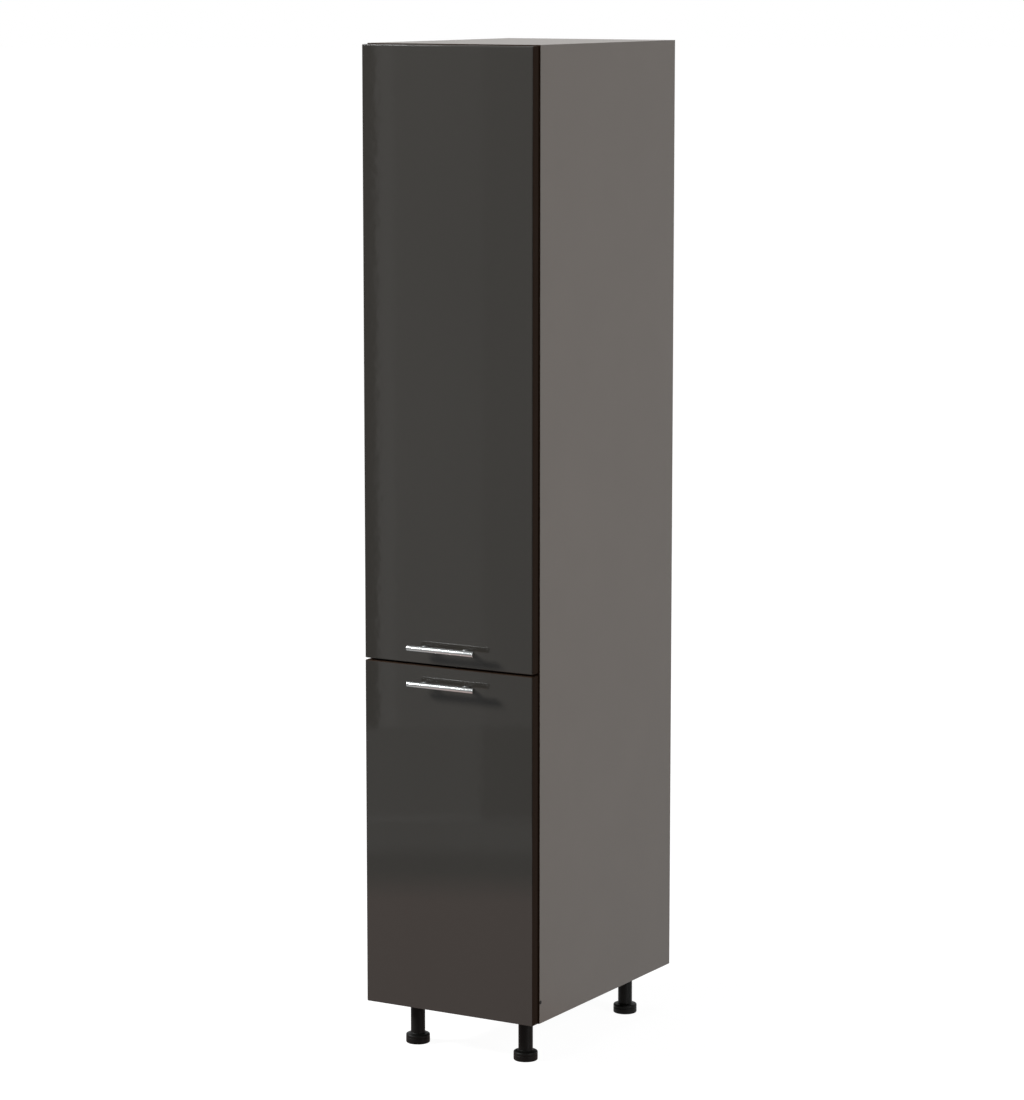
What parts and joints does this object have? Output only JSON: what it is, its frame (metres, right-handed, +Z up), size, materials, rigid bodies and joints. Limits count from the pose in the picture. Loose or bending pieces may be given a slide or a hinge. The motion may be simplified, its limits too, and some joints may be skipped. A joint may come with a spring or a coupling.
{
  "type": "pull out larder unit",
  "caption": "Tall narrow kitchen cabinet on adjustable legs; its gloss fronts pull out together on a steel frame that carries wire baskets on telescopic runners.",
  "frame": {"origin": "on the floor under the middle of the unit, handles included", "axes": "+Z up, -Y out of the front where the baskets come out, +X to the right as seen from the front"},
  "size_m": [0.4, 0.619, 2.07],
  "materials": {
    "board": "melamine-faced chipboard in a matt taupe grey",
    "front": "high-gloss graphite face on fibreboard",
    "handle": "polished round bar",
    "foot": "black moulded plastic",
    "plug": "black moulded plastic",
    "rubber": "soft dark grey buffer",
    "steel": "bright zinc-plated sheet steel",
    "frame": "silver-grey powder coat",
    "basket": "bright chromed wire",
    "liner": "pale grey coated board"
  },
  "bodies": {
    "cabinet": {"side_panel_left": "board", "side_panel_right": "board", "base_panel": "board", "top_panel": "board", "back_panel": "board", "upper_fixing_rail": "board", "lower_fixing_rail": "board", "bottom_runner_fixed": "steel", "top_runner_fixed": "steel", "edge_plug_left": "plug", "edge_plug_right": "plug", "front_buffer_lower_left": "rubber", "front_buffer_lower_right": "rubber", "front_buffer_upper_left": "rubber", "front_buffer_upper_right": "rubber", "leg_socket_front_left": "foot", "leg_socket_front_right": "foot", "leg_socket_rear_left": "foot", "leg_socket_rear_right": "foot"},
    "pull_out": {"bottom_runner_moving": "steel", "top_runner_moving": "steel", "frame_base": "frame", "frame_top": "frame", "upright_front_left": "frame", "upright_front_right": "frame", "upright_rear_left": "frame", "upright_rear_right": "frame", "lower_front": "front", "upper_front": "front", "lower_bracket_bottom": "steel", "lower_bracket_top": "steel", "upper_bracket_bottom": "steel", "upper_bracket_top": "steel", "lower_handle_bar": "handle", "upper_handle_bar": "handle", "lower_handle_post_left": "handle", "lower_handle_post_right": "handle", "lower_handle_screw_left": "steel", "lower_handle_screw_right": "steel", "upper_handle_post_left": "handle", "upper_handle_post_right": "handle", "upper_handle_screw_left": "steel", "upper_handle_screw_right": "steel", "basket_1": "basket", "basket_2": "basket", "basket_3": "basket", "basket_4": "basket", "basket_5": "basket", "basket_liner_1": "liner", "basket_liner_2": "liner", "basket_liner_3": "liner", "basket_liner_4": "liner", "basket_liner_5": "liner"},
    "bottom_middle_member": {"bottom_runner_middle": "steel"},
    "top_middle_member": {"top_runner_middle": "steel"},
    "foot_front_left": {"foot_front_left": "foot"},
    "foot_front_right": {"foot_front_right": "foot"},
    "foot_rear_left": {"foot_rear_left": "foot"},
    "foot_rear_right": {"foot_rear_right": "foot"}
  },
  "joints": [
    {"name": "pull_out_slide", "type": "slide", "parent": "cabinet", "child": "pull_out", "axis": [0, -1, 0], "range_m": [0, 0.48]},
    {"name": "bottom_middle_slide", "type": "slide", "parent": "cabinet", "child": "bottom_middle_member", "axis": [0, -1, 0], "range_m": [0, 0.24]},
    {"name": "top_middle_slide", "type": "slide", "parent": "cabinet", "child": "top_middle_member", "axis": [0, -1, 0], "range_m": [0, 0.24]},
    {"name": "foot_front_left_height", "type": "slide", "parent": "cabinet", "child": "foot_front_left", "axis": [0, 0, 1], "range_m": [-0.02, 0]},
    {"name": "foot_front_right_height", "type": "slide", "parent": "cabinet", "child": "foot_front_right", "axis": [0, 0, 1], "range_m": [-0.02, 0]},
    {"name": "foot_rear_left_height", "type": "slide", "parent": "cabinet", "child": "foot_rear_left", "axis": [0, 0, 1], "range_m": [-0.02, 0]},
    {"name": "foot_rear_right_height", "type": "slide", "parent": "cabinet", "child": "foot_rear_right", "axis": [0, 0, 1], "range_m": [-0.02, 0]}
  ],
  "couplings": [
    {"joint": "bottom_middle_slide", "follows": "pull_out_slide", "ratio": 0.5},
    {"joint": "top_middle_slide", "follows": "pull_out_slide", "ratio": 0.5}
  ]
}
